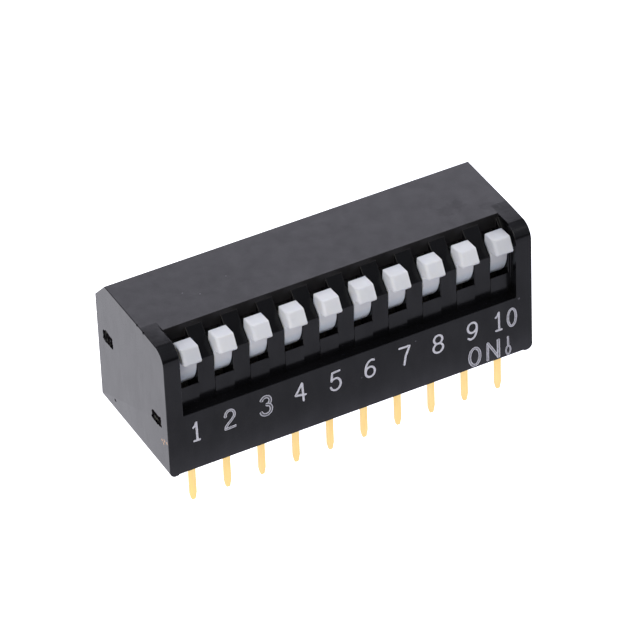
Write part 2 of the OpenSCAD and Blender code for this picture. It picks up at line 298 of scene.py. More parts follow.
def torn_plastic(flakes):
    """The rough broken resin inside the gate scars: black, with greyer flakes at the given spots."""
    made, tree, shader = new_material("gate_scar")
    tone = remap(tree, cloud(tree, 0.22, 4.0, shift=3.1), 0.35, 0.65, 0, 1)
    colour = blend_colour(tree, tone, *SCAR_BLACK)
    colour = blend_colour(tree, spots(tree, flakes), colour, SCAR_FLAKE)
    tree.links.new(colour, shader.inputs["Base Color"])
    tree.links.new(remap(tree, tone, 0, 1, 0.85, 0.5), shader.inputs["Roughness"])
    tree.links.new(remap(tree, tone, 0.80, 1, 0.0, 0.15), shader.inputs["Specular IOR Level"])
    tree.links.new(bump(tree, cloud(tree, 0.08, 3.0, shift=8.0), 0.02), shader.inputs["Normal"])
    return made


def white_plastic():
    """The levers' white resin: translucent, faintly uneven, with painted shade: bluer on the drum,
    greyer on the row's two end levers, and dark on the hub and leg."""
    made, tree, shader = new_material("lever_white_resin")
    tone = remap(tree, cloud(tree, 1.3, 3.0, shift=2.0), 0.3, 0.7, 0, 1)
    colour = blend_colour(tree, tone, *LEVER_WHITE)
    rubbed = remap(tree, cloud(tree, 0.5, 3.0, (1.6, 1, 1), 7.0), 0.60, 0.80, 0, 0.5)
    colour = blend_colour(tree, rubbed, colour, LEVER_RUBBED)
    specks = times(tree, dust(tree, 0.9, 0.035, 0.12, 4.0), 0.5)
    colour = blend_colour(tree, specks, colour, LEVER_DUST)
    x, y, z = position(tree)
    # Painted shade: the drum under the cap is tinted a shaded blue.
    drum_shade = remap(tree, z, DRUM_TOP_Z - 0.4, DRUM_TOP_Z, 0.8, 0)
    colour = blend_colour(tree, drum_shade, colour, DRUM_SHADE_BLUE)
    # Painted shade: the row's two end levers are greyer, as the end walls shade them.
    end_lever_shade = remap(tree, calc(tree, "ABSOLUTE", x, 0), END_LEVER_X, END_LEVER_X + 0.1, 0, 0.22)
    colour = blend_colour(tree, end_lever_shade, colour, END_LEVER_SHADE)
    # Painted shade: the leg and the hub, deep inside the case, are coloured almost black.
    leg = remap(tree, z, LEG_TOP_Z, LEG_TOP_Z + 0.15, 1, 0)
    hub = remap(tree, y, HUB_FRONT_Y, HUB_FRONT_Y + 0.06, 0, 1)
    colour = blend_colour(tree, calc(tree, "MAXIMUM", leg, hub), colour, HUB_AND_LEG_SHADE)
    tree.links.new(colour, shader.inputs["Base Color"])
    rough = remap(tree, cloud(tree, 0.4, 2.0, shift=1.0), 0.3, 0.7, 0.50, 0.64)
    tree.links.new(rough, shader.inputs["Roughness"])
    shader.inputs["Subsurface Weight"].default_value = 0.6
    shader.inputs["Subsurface Radius"].default_value = (0.55, 0.52, 0.46)
    shader.inputs["Subsurface Scale"].default_value = MM
    shader.inputs["Specular IOR Level"].default_value = 0.26
    tree.links.new(bump(tree, cloud(tree, 0.16, 2.0, shift=6.0), 0.003), shader.inputs["Normal"])
    return made


def gold_plate(name, shift, roughness):
    """Gold plating on a stamped strip, with painted shade where it rises into the case: fine lines
    along the pin and a faintly uneven tint."""
    made, tree, shader = new_material(name)
    tone = remap(tree, cloud(tree, 0.5, 3.0, (1, 1, 4), shift), 0.3, 0.7, 0, 1)
    colour = blend_colour(tree, tone, *GOLD)
    blush = remap(tree, cloud(tree, 0.25, 2.0, (1, 1, 8), shift + 2), 0.55, 0.75, 0, 0.5)
    colour = blend_colour(tree, blush, colour, GOLD_BLUSH)
    # Painted shade: the strip darkens to bronze from 2.5 mm to 4 mm up, inside the case.
    inside_shade = remap(tree, position(tree)["Z"], 2.5, 4.0, 0, 1)
    colour = blend_colour(tree, inside_shade, colour, INSIDE_CASE_SHADE)
    tree.links.new(colour, shader.inputs["Base Color"])
    shader.inputs["Metallic"].default_value = 1.0
    lines = cloud(tree, 0.07, 2.0, (1, 1, 14), shift)
    rough = remap(tree, lines, 0.3, 0.7, roughness - 0.06, roughness + 0.08)
    tree.links.new(rough, shader.inputs["Roughness"])
    tree.links.new(bump(tree, lines, 0.0015), shader.inputs["Normal"])
    return made


def panel_ink():
    """Pad-printed pale ink: greyer where worn, and there rubbed through along the middle of its
    strokes."""
    made, tree, shader = new_material("panel_ink")
    across, worn = stored(tree, "across"), stored(tree, "worn")
    middle = remap(tree, across, 0.32, 0.62, 1, 0)
    patches = remap(tree, cloud(tree, 0.17, 3.0, shift=1.5), 0.35, 0.58, 0.25, 1)
    patches = calc(tree, "MAXIMUM", patches, times(tree, worn, 0.85))
    thin = times(tree, times(tree, middle, patches), worn)
    colour = blend_colour(tree, worn, INK, INK_WORN)
    colour = blend_colour(tree, thin, colour, INK_GROUND)
    faded = remap(tree, cloud(tree, 0.11, 2.0, shift=9.0), 0.58, 0.80, 0, 0.35)
    colour = blend_colour(tree, faded, colour, INK_FADED)
    tree.links.new(colour, shader.inputs["Base Color"])
    tree.links.new(remap(tree, patches, 0.25, 1, 0.62, 0.48), shader.inputs["Roughness"])
    tree.links.new(bump(tree, cloud(tree, 0.06, 2.0, shift=3.0), 0.003), shader.inputs["Normal"])
    return made


def floor_white():
    """The plain white of the studio's table and backdrop, as the camera sees it."""
    made, _, shader = new_material("studio_white")
    shader.inputs["Base Color"].default_value = (0.8, 0.8, 0.8, 1)
    shader.inputs["Roughness"].default_value = 0.9
    shader.inputs["Emission Color"].default_value = (1, 1, 1, 1)
    shader.inputs["Emission Strength"].default_value = 1.0
    return made


def table_paper():
    """The same table as the object sees it: pale paper that carries the object's shadow. It glows most
    beside the pins, and behind the object on the left, where a white card lies."""
    made, tree, shader = new_material("table_paper")
    shader.inputs["Base Color"].default_value = (*[TABLE_ALBEDO] * 3, 1)
    shader.inputs["Roughness"].default_value = 0.9
    shader.inputs["Specular IOR Level"].default_value = 0.1
    y = position(tree)["Y"]
    along = tree.nodes.new("ShaderNodeVectorMath")
    along.operation = "DOT_PRODUCT"
    along.inputs[1].default_value = CARD_WAY
    tree.links.new(place(tree), along.inputs[0])
    near = remap(tree, y, -10.5, -7, GLOW_MIDDLE, GLOW_NEAR)
    far = remap(tree, y, -20, -10.5, GLOW_FAR - GLOW_MIDDLE, 0)
    card = remap(tree, along.outputs["Value"], 3, 11, 0, CARD_GLOW)
    glow = calc(tree, "MAXIMUM", calc(tree, "ADD", near, far), card)
    tint = blend_colour(tree, remap(tree, along.outputs["Value"], 2, 5, 0, 1), TABLE_TINT, CARD_TINT)
    tree.links.new(tint, shader.inputs["Emission Color"])
    tree.links.new(glow, shader.inputs["Emission Strength"])
    return made


# ---------------------------------------------------------------- mesh helpers

# Edges bent by more than the first angle, in degrees, are corners; faint creases of more than the second
# are kept crisp between faces that look up and are larger than CREASE_AREA square millimetres.
CORNER_ANGLE = 28
CREASE_ANGLE = 1
CREASE_AREA = 1


def welded(node):
    """A CAD node's mesh in millimetres, with its corners joined and its flat faces whole."""
    source = frame["nodes"][node].data
    shape = bmesh.new()
    corners = [shape.verts.new(v.co / MM) for v in source.vertices]
    for face in source.polygons:
        shape.faces.new([corners[i] for i in face.vertices])
    bmesh.ops.remove_doubles(shape, verts=shape.verts, dist=0.0005)
    bmesh.ops.dissolve_limit(
        shape, angle_limit=math.radians(0.2), verts=shape.verts, edges=shape.edges)
    return shape


def weigh_edges(shape, weight_of):
    """Sets how much of the bevel each edge gets, by weight_of(edge), where it is a real corner, and
    marks the corners, and the creases between large upward faces, as sharp."""
    shape.normal_update()
    layer = shape.edges.layers.float.new("bevel_weight_edge")
    for edge in shape.edges:
        if len(edge.link_faces) != 2:
            continue
        angle = math.degrees(edge.calc_face_angle(0))
        if angle > CORNER_ANGLE:
            edge[layer] = weight_of(edge)
        broad_tops = all(f.normal.z > 0.9 and f.calc_area() > CREASE_AREA for f in edge.link_faces)
        edge.smooth = not (angle > CORNER_ANGLE or (angle > CREASE_ANGLE and broad_tops))


def bevelled(name, shape, width, segments):
    """The shape's mesh with its weighted edges rounded to width millimetres, scaled to metres."""
    raw = bpy.data.meshes.new(name)
    shape.normal_update()
    shape.to_mesh(raw)
    shape.free()
    raw.polygons.foreach_set("use_smooth", [True] * len(raw.polygons))
    holder = bpy.data.objects.new(name, raw)
    SCENE.collection.objects.link(holder)
    rounding = holder.modifiers.new("rounding", "BEVEL")
    rounding.limit_method = "WEIGHT"
    rounding.width = width
    rounding.segments = segments
    rounding.use_clamp_overlap = False
    rounding.harden_normals = True
    solved = holder.evaluated_get(bpy.context.evaluated_depsgraph_get())
    mesh = bpy.data.meshes.new_from_object(solved)
    mesh.transform(Matrix.Scale(MM, 4))
    bpy.data.objects.remove(holder)
    bpy.data.meshes.remove(raw)
    return mesh


def add_piece(name, mesh, materials, body, stands_for=()):
    """Puts a finished mesh on its body, in the frame's place."""
    mesh.name = name
    for material in materials:
        mesh.materials.append(material)
    piece = bpy.data.objects.new(name, mesh)
    SCENE.collection.objects.link(piece)
    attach(piece, body)
    if stands_for:
        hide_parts(*stands_for)
    return piece


def edge_length(edge):
    """An edge's length in millimetres."""
    return (edge.verts[0].co - edge.verts[1].co).length


def edge_middle(edge):
    """The point halfway along an edge."""
    return (edge.verts[0].co + edge.verts[1].co) / 2


def band(shape, here, there):
    """Closes the strip of faces between two rings of as many points."""
    count = len(here)
    made = []
    for k in range(count):
        n = (k + 1) % count
        made.append(shape.faces.new((here[k], here[n], there[n], there[k])))
    return made


# ---------------------------------------------------------------- case and base

EDGE_ROUND = 0.045
BASE_ROUND = 0.03
# Edges shorter than this, and edges of faces smaller than this, stay sharp.
SHORTEST_ROUNDED = 0.12
SMALLEST_ROUNDED = 0.05
# The gate pockets of the CAD case: their depth, and more than the area of either floor.
GATE_DEPTH = 0.3
GATE_AREA = 3
SCAR_FINISH = 1


def plain_edge_weight(edge):
    """Full rounding, except beside sliver faces and on very short edges."""
    if edge_length(edge) < SHORTEST_ROUNDED:
        return 0.0
    if min(face.calc_area() for face in edge.link_faces) < SMALLEST_ROUNDED:
        return 0.0
    return 1.0


# The lower and the upper gate scar: half sizes along Y and Z, and flakes (y, z, radius) from its middle.
SCAR_HALF = ((0.68, 0.41), (0.70, 0.48))
FLAKES = (
    ((0.32, -0.10, 0.17), (0.08, -0.17, 0.17), (-0.32, -0.27, 0.14)),
    ((0.45, -0.12, 0.13), (0.18, -0.30, 0.13), (-0.12, -0.36, 0.12), (0.32, 0.26, 0.11)),
)
SCAR_POINTS = 48
SCAR_SQUARENESS = 6
# From a scar's rim to its middle: (share of the rim's distance, depth).
SCAR_PROFILE = (
    (0.97, 0.07), (0.90, 0.17), (0.78, 0.16), (0.64, 0.08), (0.48, 0.05), (0.32, 0.07), (0.16, 0.04))
SCAR_TIP_DEPTH = 0.05
SCAR_LEAST_DEPTH = 0.015


def gate_places(shape):
    """[(low corner, high corner)] of the gate pockets in the left end, found from their floors."""
    floor_x = CASE_LOW.x + GATE_DEPTH
    floors = [
        face for face in shape.faces
        if all(abs(v.co.x - floor_x) < NEAR for v in face.verts) and face.calc_area() < GATE_AREA
    ]
    places = []
    for face in sorted(floors, key=lambda f: f.calc_center_median().z):
        ys = [v.co.y for v in face.verts]
        zs = [v.co.z for v in face.verts]
        places.append(((min(ys), min(zs)), (max(ys), max(zs))))
    return places


def open_end_face(shape, places):
    """Takes away the left end face and its pockets, and returns the end's outer edges."""
    def in_pocket(v):
        return v.co.x < CASE_LOW.x + GATE_DEPTH + NEAR and any(
            low[0] - NEAR < v.co.y < high[0] + NEAR and low[1] - NEAR < v.co.z < high[1] + NEAR
            for low, high in places)

    end = [
        face for face in shape.faces
        if all(abs(v.co.x - CASE_LOW.x) < TOUCHING for v in face.verts)
    ]
    bmesh.ops.delete(shape, geom=end, context="FACES_ONLY")
    bmesh.ops.delete(shape, geom=[v for v in shape.verts if in_pocket(v)], context="VERTS")
    return [e for e in shape.edges if e.is_boundary]


def middle_of(low, high):
    """The middle (y, z) of a pocket."""
    return (low[0] + high[0]) / 2, (low[1] + high[1]) / 2


def torn_outline(middle, half_y, half_z, seed):
    """A ragged rectangle around a pocket's middle: [(y, z)] in millimetres."""
    cy, cz = middle
    ring = []
    for k in range(SCAR_POINTS):
        a = 2 * math.pi * k / SCAR_POINTS
        c, s = math.cos(a), math.sin(a)
        square = (abs(c) ** SCAR_SQUARENESS + abs(s) ** SCAR_SQUARENESS) ** (-1 / SCAR_SQUARENESS)
        wobble = 1.0 + 0.18 * noise.noise(Vector((2.6 * c, 2.6 * s, seed)))
        wobble += 0.20 * noise.noise(Vector((8 * c, 8 * s, seed)))
        ring.append((cy + half_y * c * square * wobble, cz + half_z * s * square * wobble))
    return ring


def add_gate_scar(shape, ring, seed):
    """Fills a ragged hole in the end face with a broken stub and a trench that is deeper in front."""
    centre = sum((v.co for v in ring), Vector()) / len(ring)
    reach = max(abs(v.co.y - centre.y) for v in ring)
    rows = [ring]
    for share, depth in SCAR_PROFILE:
        row = []
        for v in ring:
            at = centre + (v.co - centre) * share
            rough = noise.noise(Vector((seed, at.y * 4.5, at.z * 4.5)))
            rough += 0.7 * noise.noise(Vector((seed + 9, at.y * 12, at.z * 12)))
            front = 1.0 + 0.7 * (centre.y - at.y) / reach
            at.x = CASE_LOW.x + max(SCAR_LEAST_DEPTH, depth * front + 0.09 * rough * (1.1 - share))
            row.append(shape.verts.new(at))
        rows.append(row)
    made = []
    for outer, inner in zip(rows, rows[1:]):
        made += band(shape, outer, inner)
    tip = shape.verts.new((CASE_LOW.x + SCAR_TIP_DEPTH, centre.y, centre.z))
    last = rows[-1]
    made += [shape.faces.new((a, b, tip)) for a, b in zip(last, last[1:] + last[:1])]
    for face in made:
        face.material_index = SCAR_FINISH


def close_end_face(shape, outer_edges, places):
    """Builds the left end face again, with a torn gate scar in place of each pocket."""
    rings, edges = [], list(outer_edges)
    for n, place_yz in enumerate(places):
        outline = torn_outline(middle_of(*place_yz), *SCAR_HALF[n], 1.7 + 3.1 * n)
        ring = [shape.verts.new((CASE_LOW.x, y, z)) for y, z in outline]
        edges += [shape.edges.new((a, b)) for a, b in zip(ring, ring[1:] + ring[:1])]
        rings.append(ring)
    bmesh.ops.triangle_fill(shape, edges=edges, use_beauty=True, normal=(-1, 0, 0))
    for n, ring in enumerate(rings):
        add_gate_scar(shape, ring, 4.2 + 2.3 * n)


def case_edge_weight(edge):
    """As a plain edge, but sharp around the scars and on the feet of the ribs and sills."""
    middle = edge_middle(edge)
    low_rib_or_sill = CASE_LOW.y + 0.5 < middle.y < CASE_LOW.y + 1.2 and middle.z < 6.2
    if low_rib_or_sill or any(face.material_index == SCAR_FINISH for face in edge.link_faces):
        return 0.0
    return plain_edge_weight(edge)


def case_marks():
    """The case's small marks, each list [(point, radius)] in millimetres: dark nicks on the left end,
    pale specks on the top and the panel, a painted glint at the panel's top right corner, dull spots
    on the top, and a tan smudge low on the left end."""
    left, front, top = CASE_LOW.x, CASE_LOW.y, CASE_HIGH.z
    dark = [((left, 2.9, 1.1), 0.14), ((left, -2.2, 10.02), 0.13),
            ((left, -1.3, 10.08), 0.12), ((left, -2.4, 0.2), 0.16)]
    pale = [((-9.45, 0.2, top), 0.05), ((-8.5, -0.45, top), 0.06), ((-6.2, 0.4, top), 0.05),
            # The last pale mark, at the panel's top right corner, is a painted glint.
            ((4.7, front, 4.02), 0.05), ((0.65, front, 2.63), 0.06), ((12.5, front, 4.5), 0.09)]
    dull = [((9.5, -0.7, top), 0.55), ((10.4, -0.5, top), 0.6), ((12.2, -1.6, top), 0.6)]
    tan = [((left, -4.05, 2.6), 0.12), ((left, -4.4, 2.75), 0.13),
           ((left, -4.25, 2.45), 0.12), ((left, -4.75, 2.8), 0.12)]
    return dark, pale, dull, tan


def scar_flakes(places):
    """The greyer flakes in the gate scars, [(point, radius)] in millimetres."""
    found = []
    for place_yz, marks in zip(places, FLAKES):
        cy, cz = middle_of(*place_yz)
        found += [((CASE_LOW.x + 0.1, cy + y, cz + z), radius) for y, z, radius in marks]
    return found


def add_case():
    """The case: its CAD shape with rounded edges and torn gate scars."""
    shape = welded("case")
    places = gate_places(shape)
    outer = open_end_face(shape, places)
    close_end_face(shape, outer, places)
    bmesh.ops.recalc_face_normals(shape, faces=shape.faces)
    weigh_edges(shape, case_edge_weight)
    mesh = bevelled("case_shell", shape, EDGE_ROUND, 2)
    finish = black_plastic("case_resin", 0.0, CASE_GLOSS, *case_marks())
    finishes = (finish, torn_plastic(scar_flakes(places)))
    add_piece("case_shell", mesh, finishes, HOUSING, ("case",))


def add_base():
    """The terminal base that closes the case from below."""
    shape = welded("base")
    weigh_edges(shape, plain_edge_weight)
    mesh = bevelled("terminal_base", shape, BASE_ROUND, 2)
    finish = black_plastic("base_resin", 6.5, BASE_GLOSS)
    add_piece("terminal_base", mesh, (finish,), HOUSING, ("base",))


# ---------------------------------------------------------------- terminals and sliders

TERMINAL_ROUND = 0.10
SHORTEST_STAMPED = 0.08


def terminal_weight(edge):
    """A pin's tip is well rounded; the stamped edges are only broken."""
    if all(v.co.z < PIN_TIP / MM + NEAR for v in edge.verts):
        return 1.0 if abs(edge.verts[0].co.x - edge.verts[1].co.x) < NEAR else 0.35
    return 0.0 if edge_length(edge) < SHORTEST_STAMPED else 0.25


def add_terminals():
    """Every terminal, bevelled as stamped and plated strip is."""
    finish = gold_plate("terminal_plating", 0.0, 0.34)
    for node in TERMINALS:
        shape = welded(node)
        weigh_edges(shape, terminal_weight)
        mesh = bevelled(node, shape, TERMINAL_ROUND, 3)
        add_piece("plated_" + node, mesh, (finish,), HOUSING, (node,))


def add_sliders():
    """The sliders keep their CAD shape and get a gold plating of their own."""
    finish = gold_plate("slider_plating", 9.0, 0.28)
    for node in SLIDERS:
        mesh = frame["nodes"][node].data
        mesh.materials.clear()
        mesh.materials.append(finish)


# ---------------------------------------------------------------- levers

LEVER_ROUND = 0.26
# A trunnion stands out of the lever's side by its reach.
TRUNNION_RADIUS = 0.5
TRUNNION_CHAMFER = 0.06
TRUNNION_REACH = 0.5
TRUNNION_STEPS = 40
# The lever's outline around its axis: radius of the drum and the hub, height of the arm behind the cap,
# half width, length and direction of the leg, and where the drum meets the leg.
DRUM, HUB, ARM = 2.5, 0.7, 0.3
LEG_HALF, LEG_END, LEG_AT = 0.65, 3.55, 82
DRUM_FROM, DRUM_TO = -9, 62
CAP = [(-1.68, 1.52), (-2.78, 1.60), (-3.28, 0.72), (-3.195, 0.55)]
ARM_BACK_Y = -1.60


def polar(radius, angle):
    """A point around the lever's axis: 0 degrees is to the front, 90 straight down."""
    a = math.radians(angle)
    return (-radius * math.cos(a), -radius * math.sin(a))


def arc_points(radius, start, end, step=4):
    """Points along an arc around the lever's axis."""
    count = max(2, round(abs(end - start) / step))
    return [polar(radius, start + (end - start) * k / count) for k in range(count + 1)]


def lever_outline():
    """The lever's side outline, [(y, z)] in millimetres from its axis, from the cap's back round."""
    front = arc_points(DRUM, DRUM_FROM, DRUM_TO)
    inner = LEG_HALF / math.sin(math.radians(LEG_AT - DRUM_TO))
    along, aside = Vector(polar(1, LEG_AT)), Vector(polar(1, LEG_AT + 90)) * LEG_HALF
    leg = [polar(inner, DRUM_TO), along * LEG_END - aside, along * LEG_END + aside]
    hub_from = LEG_AT + math.degrees(math.asin(LEG_HALF / HUB))
    back = arc_points(HUB, hub_from, 360 - math.degrees(math.asin(ARM / HUB)), 12)
    return [Vector(p) for p in CAP + front + leg + back + [(ARM_BACK_Y, ARM)]]


def lever_weight(edge, pivot):
    """The cap's left side runs softly into its front and the drum's right side is round; the rest is
    crisp."""
    middle = edge_middle(edge) - pivot
    if abs(edge.verts[0].co.x - edge.verts[1].co.x) > NEAR:
        return 0.35 if middle.z > 1.55 else 0.1
    if middle.x >= 0:
        return 0.4 if middle.z < 0.4 else 0.12
    if middle.z > 1.4:
        return 0.4
    if middle.y >= -2:
        return 0.12
    return 1.0 if middle.z > 0.6 else 0.5 if middle.z > 0.4 else 0.12


def lever_body(width, pivot):
    """The lever's solid between its two sides."""
    shape = bmesh.new()
    left, right = (
        [shape.verts.new(pivot + Vector((side * width / 2, p.x, p.y))) for p in lever_outline()]
        for side in (-1, 1))
    shape.faces.new(left)
    shape.faces.new(reversed(right))
    for k in range(len(left)):
        n = (k + 1) % len(left)
        shape.faces.new((left[k], right[k], right[n], left[n]))
    bmesh.ops.recalc_face_normals(shape, faces=shape.faces)
    return shape


def trunnion(shape, side, width, pivot):
    """A trunnion as a ring stack with a chamfered end, rooted inside the lever's side."""
    narrow, straight = TRUNNION_RADIUS - TRUNNION_CHAMFER, TRUNNION_REACH - TRUNNION_CHAMFER
    angles = [2 * math.pi * k / TRUNNION_STEPS for k in range(TRUNNION_STEPS)]
    rows = []
    for out, r in ((-0.1, TRUNNION_RADIUS), (straight, TRUNNION_RADIUS), (TRUNNION_REACH, narrow)):
        aside = side * (width / 2 + out)
        rows.append([
            shape.verts.new(pivot + Vector((aside, r * math.cos(a), r * math.sin(a)))) for a in angles])
    for inner, outer in zip(rows, rows[1:]):
        band(shape, inner, outer)
    shape.faces.new(rows[0])
    shape.faces.new(rows[-1])


def add_levers():
    """The ten levers, each rounded all over, with its own patch of the white resin's pattern."""
    finish = white_plastic()
    for node in LEVERS:
        pivot = PIVOT[node]
        low, high = (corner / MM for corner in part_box(node))
        width = high.x - low.x - 2 * TRUNNION_REACH
        shape = lever_body(width, pivot)
        weigh_edges(shape, lambda edge: lever_weight(edge, pivot))
        mesh = bevelled(node, shape, LEVER_ROUND, 4)
        pins = bmesh.new()
        for side in (-1, 1):
            trunnion(pins, side, width, pivot)
        bmesh.ops.recalc_face_normals(pins, faces=pins.faces)
        bmesh.ops.scale(pins, vec=(MM, MM, MM), verts=pins.verts)
        pins.from_mesh(mesh)
        pins.to_mesh(mesh)
        pins.free()
        add_piece("rocker_" + node[-2:], mesh, (finish,), node, (node,))


# ---------------------------------------------------------------- printed lettering

INK_WIDTH = 0.15
INK_THICK = 0.012
INK_STEP = 0.05
# A sign's later strokes lie a little over its earlier ones; the ink's edge is sunk into the panel.
INK_LIFT = 0.0006
INK_SUNK = 0.002
# Strokes drawn thinner or bolder than the rest of their sign: {(sign, stroke): share}.
STROKE_SHARE = {("arrow", 1): 0.75, ("N", 2): 1.3}
# The signs 1 to 9: (aside from the lever's middle, foot height, wear, boldness).
PRINTED = (
    (0.0, 2.36, 0.3, 1.0), (-0.12, 2.40, 0.8, 1.25), (-0.04, 2.42, 1.0, 1.6),
    (-0.03, 2.48, 0.15, 1.0), (-0.04, 2.40, 0.3, 1.0), (0.01, 2.46, 0.15, 1.0),
    (0.06, 2.43, 0.05, 1.0), (0.02, 2.45, 0.1, 1.0), (0.05, 2.54, 0.15, 1.0))


def bow(cx, cz, rx, rz, start, end):
    """An elliptical arc's points, counter-clockwise from start to end degrees."""
    count = max(6, round(abs(end - start) / 8))
    angles = (math.radians(start + (end - start) * k / count) for k in range(count + 1))
    return [(cx + rx * math.cos(a), cz + rz * math.sin(a)) for a in angles]


def glyphs():
    """Stroke centre lines of each sign, in millimetres from the middle of its foot."""
    return {
        "1": [[(-0.22, 1.11), (-0.08, 1.25), (0.0, 1.46)], [(0.0, 1.46), (0.03, 0)],
              [(-0.20, 0.01), (0.20, 0)]],
        "2": [bow(0.0, 1.04, 0.33, 0.40, 185, -25)
              + [(0.13, 0.64), (-0.18, 0.35), (-0.32, 0.16), (-0.35, 0)],
              [(-0.35, 0), (0.36, 0.03)]],
        "3": [bow(-0.01, 1.10, 0.33, 0.36, 160, -75), bow(0.0, 0.41, 0.38, 0.41, 85, -165)],
        "4": [[(0.10, 1.43), (-0.39, 0.58), (0.35, 0.45)], [(0.12, 1.41), (0.19, 0)]],
        "5": [[(0.34, 1.49), (-0.20, 1.45), (-0.27, 0.86)], bow(0.02, 0.47, 0.38, 0.48, 138, -160)],
        "6": [bow(0.0, 0.41, 0.34, 0.41, 0, 360), bow(0.12, 0.56, 0.46, 0.79, 192, 68)],
        "7": [[(-0.39, 1.45), (0.37, 1.43), (0.24, 1.12), (0.06, 0.68), (-0.05, 0)]],
        "8": [bow(0.0, 1.06, 0.31, 0.34, 0, 360), bow(0.0, 0.36, 0.36, 0.37, 0, 360)],
        "9": [bow(0.0, 0.93, 0.34, 0.41, 0, 360),
              bow(-0.10, 0.76, 0.44, 0.76, 8, -100) + [(-0.30, 0.13)]],
        "0": [bow(0.0, 0.69, 0.30, 0.70, 0, 360)],
        "O": [bow(0.0, 0.70, 0.39, 0.70, 0, 360)],
        "N": [[(-0.42, 0), (-0.41, 1.40)], [(-0.39, 1.38), (0.37, 0.02)], [(0.39, 1.40), (0.40, -0.03)]],
        "arrow": [[(-0.02, 1.42), (0.0, 0.68)], bow(0.0, 0.34, 0.165, 0.34, 90, 450)],
    }


def lettering():
    """[(sign, x of its middle, z of its foot, wear, boldness)] of everything printed on the panel."""
    row = [
        (str(k + 1), PIVOT[LEVERS[k]].x + aside, foot, wear, bold)
        for k, (aside, foot, wear, bold) in enumerate(PRINTED)]
    last = PIVOT[LEVERS[9]].x
    row += [("1", last - 0.48, 2.48, 0.3, 0.95), ("0", last + 0.51, 2.48, 0.7, 1.15)]
    row += [("O", 9.10, 0.30, 0.85, 1.35), ("N", 10.50, 0.31, 0.75, 1.2)]
    row += [("arrow", 11.64, 0.23, 0.8, 1.0)]
    return row


def evened(points):
    """A centre line's points at even, short steps."""
    out = [Vector(points[0])]
    for a, b in zip(points, points[1:]):
        a, b = Vector(a), Vector(b)
        count = max(1, round((b - a).length / INK_STEP))
        out += [a.lerp(b, k / count) for k in range(1, count + 1)]
    return out


def stroke_sections(points, closed):
    """[(middle, direction across, half width)] along a stroke, with round ends unless it is closed."""
    half = INK_WIDTH / 2
    count = len(points)
    ways = []
    for k in range(count):
        before = points[(k - 1) % (count - 1)] if closed else points[max(k - 1, 0)]
        after = points[(k + 1) % (count - 1)] if closed else points[min(k + 1, count - 1)]
        ways.append((after - before).normalized())
    sections = [(at, Vector((-way.y, way.x)), half) for at, way in zip(points, ways)]
    if closed:
        return sections[:-1]
    cap = [math.radians(a) for a in (80, 55, 30)]
    (start, first_side, _), (end, last_side, _) = sections[0], sections[-1]
    head = [(start - ways[0] * half * math.sin(a), first_side, half * math.cos(a)) for a in cap]
    tail = [(end + ways[-1] * half * math.sin(a), last_side, half * math.cos(a)) for a in reversed(cap)]
    return head + sections + tail


def add_stroke(shape, layers, points, closed, origin, lift, wear, share):
    """One raised ribbon of ink, with a slightly ragged edge, on the panel's face."""
    across, worn = layers
    panel_y = CASE_LOW.y
    rows = []
    for at, side, half in stroke_sections(evened(points), closed):
        row = []
        for place_across in (-1, 0, 1):
            grain = Vector((at.x * 9 + origin[0], at.y * 9, place_across * 3.0))
            ragged = 1 + 0.10 * noise.noise(grain)
            p = Vector(origin) + at + side * (half * share * place_across * ragged)
            v = shape.verts.new((p.x, panel_y - INK_THICK - lift, p.y))
            v[across], v[worn] = abs(place_across), wear
            row.append(v)
        for edge in (2, 0):
            v = shape.verts.new((row[edge].co.x, panel_y + INK_SUNK, row[edge].co.z))
            v[across], v[worn] = 1.0, wear
            row.append(v)
        rows.append(row)
    for here, there in zip(rows, rows[1:] + rows[:1] if closed else rows[1:]):
        band(shape, here, there)
    if not closed:
        shape.faces.new(rows[0])
        shape.faces.new(reversed(rows[-1]))


def add_lettering():
    """The plain numbers, the word ON and its arrow, printed on the panel."""
    finish = panel_ink()
    shapes = glyphs()
    shape = bmesh.new()
    layers = (shape.verts.layers.float.new("across"), shape.verts.layers.float.new("worn"))
    for sign, x, z, wear, bold in lettering():
        for k, points in enumerate(shapes[sign]):
            closed = (Vector(points[0]) - Vector(points[-1])).length < NEAR
            share = STROKE_SHARE.get((sign, k), 1.0) * bold
            add_stroke(shape, layers, points, closed, (x, z), INK_LIFT * k, wear, share)
    bmesh.ops.recalc_face_normals(shape, faces=shape.faces)
    bmesh.ops.scale(shape, vec=(MM, MM, MM), verts=shape.verts)
    mesh = bpy.data.meshes.new("panel_numbers")
    shape.to_mesh(mesh)
    shape.free()
    add_piece("panel_numbers", mesh, (finish,), HOUSING)


# ---------------------------------------------------------------- studio

TABLE_ALBEDO = 0.2
# The way to the white card behind the object's left.
CARD_WAY = (-0.75, 0.66, 0)
TABLE_TINT = (0.93, 0.935, 1.12)
CARD_TINT = (0.99, 0.985, 1.07)
GLOW_NEAR = 1.0
GLOW_MIDDLE = 0.28
GLOW_FAR = 0.35
CARD_GLOW = 1.12
WORLD_LIGHT = 0.03
# Soft panels: name, azimuth (0 behind the object at +Y, 90 at +X), elevation, width, height, brightness
# and tint.
PANELS = (
    ("backdrop_panel", 20, 22.8, 1.20, 0.48, 1.58, (0.98, 0.965, 1.10)),
    ("top_left_panel", -70, 62, 0.45, 0.40, 1.9, (0.90, 0.96, 1.16)),
    ("left_panel", -115, 38, 0.45, 0.45, 2.9, (1.03, 1.0, 0.95)),
    ("left_front_panel", -152, 34, 0.45, 0.30, 1.75, (1.04, 1.0, 0.93)),
    ("right_panel", 105, 38, 0.45, 0.45, 2.4, (1.0, 1.0, 1.02)),
    ("front_fill", 120, 55, 1.30, 1.20, 0.24, (0.93, 0.97, 1.12)),
)
PANEL_DISTANCE = 0.7
STAGE_RADIUS = 3
